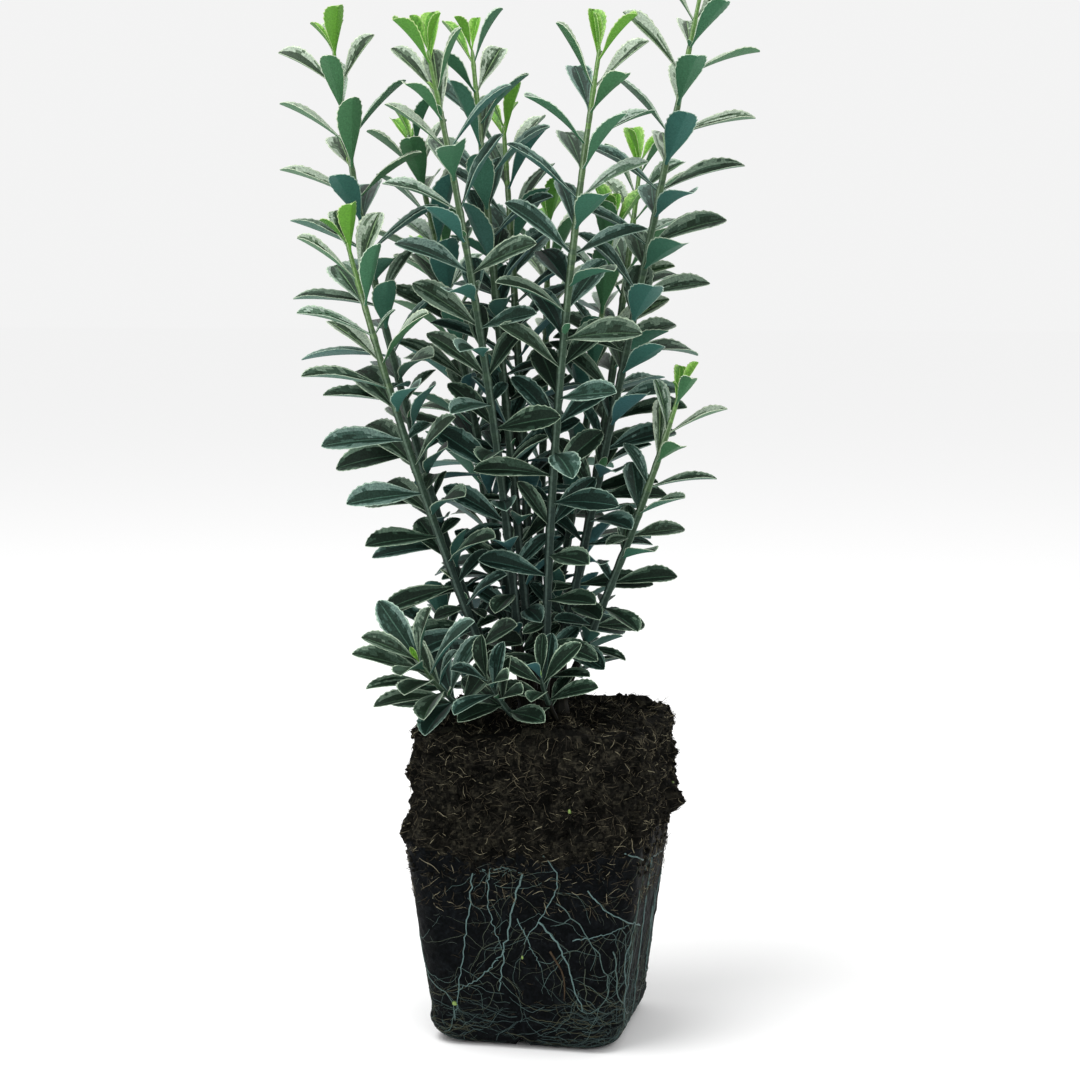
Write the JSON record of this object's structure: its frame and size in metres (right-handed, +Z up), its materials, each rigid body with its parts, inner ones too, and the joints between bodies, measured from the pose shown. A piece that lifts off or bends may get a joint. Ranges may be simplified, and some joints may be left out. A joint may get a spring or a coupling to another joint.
{
  "type": "variegated euonymus on its root ball",
  "caption": "Young variegated evergreen shrub: a clump of upright leafy shoots on a bare, square, tapered root ball that stands on its flat underside.",
  "frame": {"origin": "centre of the root ball's flat underside, which is the mount underside", "axes": "+Z up along the plant; the square root ball's sides face +X, -X, +Y and -Y; the picture looks along +Y turned 12 degrees towards -X"},
  "size_m": [0.2357, 0.1943, 0.5392],
  "materials": {
    "root_ball": "moist dark compost, moulded smooth by the pot below and loose and fibrous above, with pale roots on its sides and round its base",
    "stem": "green to grey-brown bark, matt, four-angled on the young shoots",
    "leaf": "leathery evergreen leaf: dark green centre, grey-green zone and cream margin above, plain matt blue-green below"
  },
  "bodies": {
    "root": {"root_ball": "root_ball", "main_stem_left": "stem", "main_stem_middle": "stem", "main_stem_right": "stem", "main_stem_rear": "stem", "bough_front_right": "stem", "foliage_front_right": "leaf", "bough_front_left": "stem", "foliage_front_left": "leaf", "bough_left_front": "stem", "foliage_left_front": "leaf", "bough_left_tall": "stem", "foliage_left_tall": "leaf", "bough_middle": "stem", "foliage_middle": "leaf", "bough_middle_rear": "stem", "foliage_middle_rear": "leaf", "bough_rear_tall": "stem", "foliage_rear_tall": "leaf", "bough_rear_left": "stem", "foliage_rear_left": "leaf", "bough_rear": "stem", "foliage_rear": "leaf", "bough_rear_right": "stem", "foliage_rear_right": "leaf", "bough_right_rear": "stem", "foliage_right_rear": "leaf", "bough_right_tall": "stem", "foliage_right_tall": "leaf", "bough_right_low": "stem", "foliage_right_low": "leaf", "bough_low_left": "stem", "foliage_low_left": "leaf", "bough_low_front": "stem", "foliage_low_front": "leaf", "bough_low_right": "stem", "foliage_low_right": "leaf", "bough_low_rear": "stem", "foliage_low_rear": "leaf", "bough_low_side": "stem", "foliage_low_side": "leaf"}
  },
  "joints": []
}
